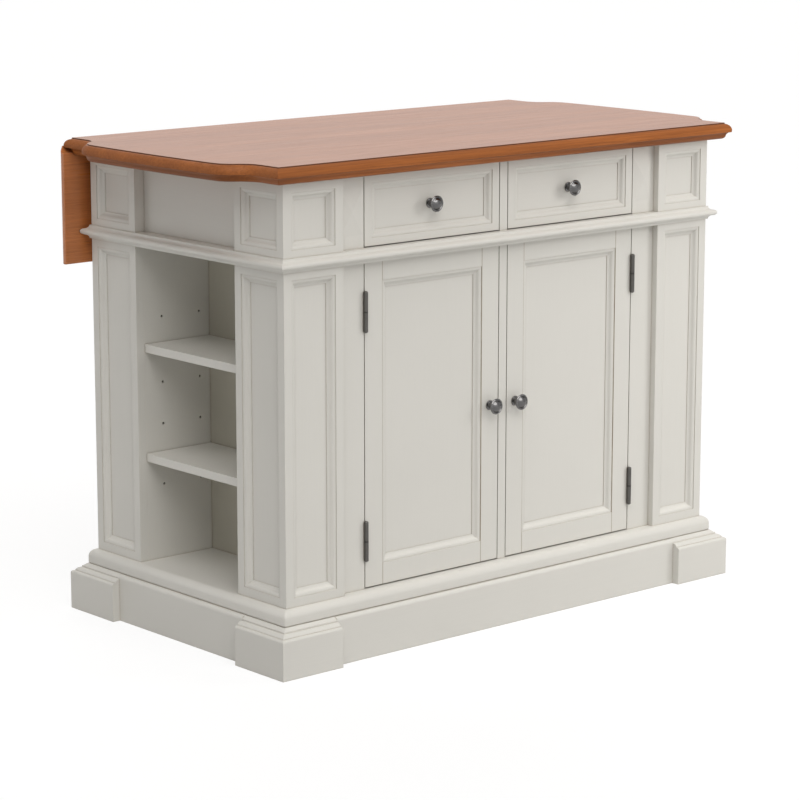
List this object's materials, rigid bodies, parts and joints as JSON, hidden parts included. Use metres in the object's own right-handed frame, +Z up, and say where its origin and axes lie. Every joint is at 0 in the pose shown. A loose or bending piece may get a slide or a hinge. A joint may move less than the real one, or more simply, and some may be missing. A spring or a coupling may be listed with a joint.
{
  "type": "drop leaf kitchen island",
  "caption": "Painted kitchen island with a wooden worktop, a hinged drop leaf on folding stays, inset doors and drawers, and open shelves at both ends.",
  "frame": {"origin": "on the floor, below the middle of the bounding box, which is the middle of the corner blocks", "axes": "+X along the length, to the right when facing the doors; +Y towards the side with the drop leaf; +Z up; the doors face -Y"},
  "size_m": [1.2434, 0.6564, 0.9144],
  "materials": {
    "cabinet_paint": "satin antique white paint",
    "worktop_wood": "stained and lacquered, satin",
    "edge_wood": "stained and lacquered, satin",
    "leaf_wood": "stained and lacquered, satin",
    "drawer_wood": "clear lacquered",
    "dark_steel": "dark gunmetal",
    "knob_metal": "polished gunmetal",
    "zinc_steel": "zinc plated"
  },
  "bodies": {
    "cabinet": {"corner_blocks": "cabinet_paint", "plinth_rails": "cabinet_paint", "base_moulding": "cabinet_paint", "bottom_panel": "cabinet_paint", "post_front_left": "cabinet_paint", "post_front_right": "cabinet_paint", "post_rear_left": "cabinet_paint", "post_rear_right": "cabinet_paint", "bay_cheeks": "cabinet_paint", "bay_tops": "cabinet_paint", "upper_end_panels": "cabinet_paint", "waist_moulding": "cabinet_paint", "end_wall_left": "cabinet_paint", "end_wall_right": "cabinet_paint", "drawer_deck": "cabinet_paint", "drawer_divider": "cabinet_paint", "back_panel": "cabinet_paint", "leaf_apron": "cabinet_paint", "rear_mid_rail": "cabinet_paint", "mid_rail": "cabinet_paint", "mullion": "cabinet_paint", "frame_stile_left": "cabinet_paint", "frame_stile_right": "cabinet_paint", "end_shelves": "cabinet_paint", "inner_shelf": "cabinet_paint", "top_board": "worktop_wood", "top_edge_left": "edge_wood", "top_edge_right": "edge_wood", "top_edge_front": "edge_wood", "top_batten_rear": "edge_wood", "door_hinge_frame_leaves": "dark_steel", "door_hinge_pins": "dark_steel", "leaf_hinge_fixed_plates": "zinc_steel", "leaf_hinge_pins": "zinc_steel", "stay_cabinet_brackets": "zinc_steel", "drawer_slide_rails": "zinc_steel", "shelf_pins": "zinc_steel"},
    "leaf": {"drop_leaf": "leaf_wood", "leaf_hinge_moving_plates": "zinc_steel", "stay_leaf_brackets": "zinc_steel"},
    "stay_upper": {"stay_cabinet_links": "zinc_steel"},
    "stay_lower": {"stay_leaf_links": "zinc_steel"},
    "door_left": {"door_left_frame": "cabinet_paint", "door_left_panel": "cabinet_paint", "door_left_hinge_leaves": "dark_steel", "knob_door_left": "knob_metal"},
    "door_right": {"door_right_frame": "cabinet_paint", "door_right_panel": "cabinet_paint", "door_right_hinge_leaves": "dark_steel", "knob_door_right": "knob_metal"},
    "drawer_left": {"drawer_left_front": "cabinet_paint", "drawer_left_box": "drawer_wood", "drawer_left_bottom": "drawer_wood", "drawer_left_runners": "zinc_steel", "knob_drawer_left": "knob_metal"},
    "drawer_right": {"drawer_right_front": "cabinet_paint", "drawer_right_box": "drawer_wood", "drawer_right_bottom": "drawer_wood", "drawer_right_runners": "zinc_steel", "knob_drawer_right": "knob_metal"}
  },
  "joints": [
    {"name": "leaf_hinge", "type": "hinge", "parent": "cabinet", "child": "leaf", "pos_m": [0, 0.31045, 0.8989], "axis": [1, 0, 0], "range_deg": [0, 90]},
    {"name": "stay_upper_pivot", "type": "hinge", "parent": "cabinet", "child": "stay_upper", "pos_m": [0, 0.29845, 0.8189], "axis": [1, 0, 0], "range_deg": [0, 135]},
    {"name": "stay_lower_pivot", "type": "hinge", "parent": "leaf", "child": "stay_lower", "pos_m": [0, 0.29845, 0.8189], "axis": [1, 0, 0], "range_deg": [-135, 0]},
    {"name": "door_left_hinge", "type": "hinge", "parent": "cabinet", "child": "door_left", "pos_m": [-0.3404, -0.28045, 0.4214], "axis": [0, 0, -1], "range_deg": [0, 110]},
    {"name": "door_right_hinge", "type": "hinge", "parent": "cabinet", "child": "door_right", "pos_m": [0.3404, -0.28045, 0.4214], "axis": [0, 0, 1], "range_deg": [0, 110]},
    {"name": "drawer_left_slide", "type": "slide", "parent": "cabinet", "child": "drawer_left", "axis": [0, -1, 0], "range_m": [0, 0.33]},
    {"name": "drawer_right_slide", "type": "slide", "parent": "cabinet", "child": "drawer_right", "axis": [0, -1, 0], "range_m": [0, 0.33]}
  ],
  "couplings": [
    {"joint": "stay_upper_pivot", "follows": "leaf_hinge", "ratio": 1.5},
    {"joint": "stay_lower_pivot", "follows": "leaf_hinge", "ratio": -1.5}
  ]
}
